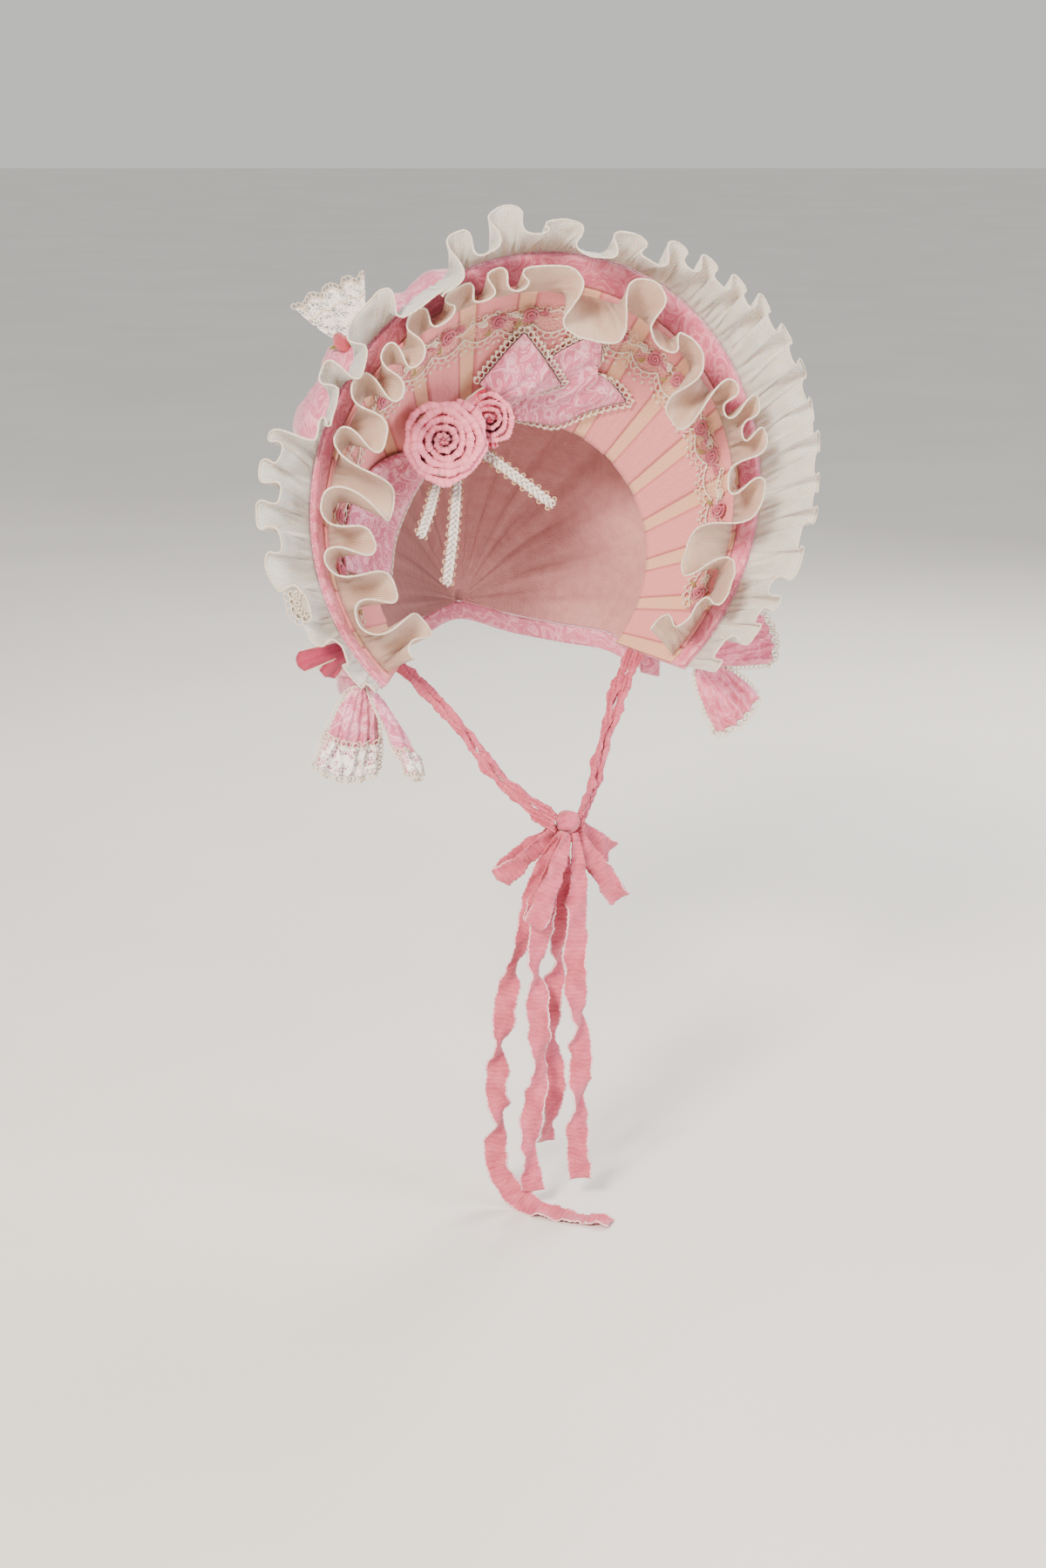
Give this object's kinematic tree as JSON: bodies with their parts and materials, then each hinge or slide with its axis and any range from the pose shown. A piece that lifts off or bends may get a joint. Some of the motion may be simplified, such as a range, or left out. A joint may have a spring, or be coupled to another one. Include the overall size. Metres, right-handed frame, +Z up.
{
  "type": "bonnet",
  "caption": "Ruffled damask bonnet with a flared horseshoe brim, pleated lining, puffed crown, rolled roses, bow, braids and chin ribbons.",
  "frame": {"origin": "top of the head that the bonnet sits on, at the middle of the brim's head edge", "axes": "+Z up, -Y toward the front of the face, +X to the viewer's right"},
  "size_m": [0.3606, 0.2823, 0.632],
  "materials": {
    "damask": "satin",
    "lining": "matt",
    "cream_chiffon": "matt",
    "white_chiffon": "matt",
    "lace": "matt",
    "white_lace": "matt",
    "rose": "matt",
    "braid": "matt",
    "bow_lace": "satin",
    "satin": "gloss",
    "bud": "satin",
    "ribbon": "matt"
  },
  "bodies": {
    "root": {"brim": "damask", "lining": "lining", "facing_ring": "damask", "rose_lace": "lace", "outer_ruffle": "white_chiffon", "inner_ruffle": "cream_chiffon", "crown": "damask", "nape_band": "damask", "bow_loop": "damask", "bow_tail": "damask", "bow_panel": "damask", "rose_large": "rose", "rose_small": "rose", "braid_1": "braid", "braid_2": "braid", "braid_3": "braid", "lace_fan": "white_lace", "lace_flower": "lace", "satin_loop": "satin", "chin_knot": "ribbon", "side_bow_left_knot": "damask", "side_bow_left_fan": "bow_lace", "side_bow_left_wing": "bow_lace", "side_bow_right_knot": "damask", "side_bow_right_upper": "bow_lace", "side_bow_right_lower": "bow_lace", "rosebud_1": "bud", "rosebud_2": "bud", "rosebud_3": "bud", "rosebud_4": "bud", "rosebud_5": "bud", "chin_strap_left_1": "ribbon", "chin_strap_left_2": "ribbon", "chin_strap_right_1": "ribbon", "chin_strap_right_2": "ribbon", "chin_loop_1": "ribbon", "chin_tail_1": "ribbon", "chin_loop_2": "ribbon", "chin_tail_2": "ribbon", "chin_loop_3": "ribbon", "chin_tail_3": "ribbon", "chin_loop_4": "ribbon", "chin_tail_4": "ribbon"}
  },
  "joints": []
}
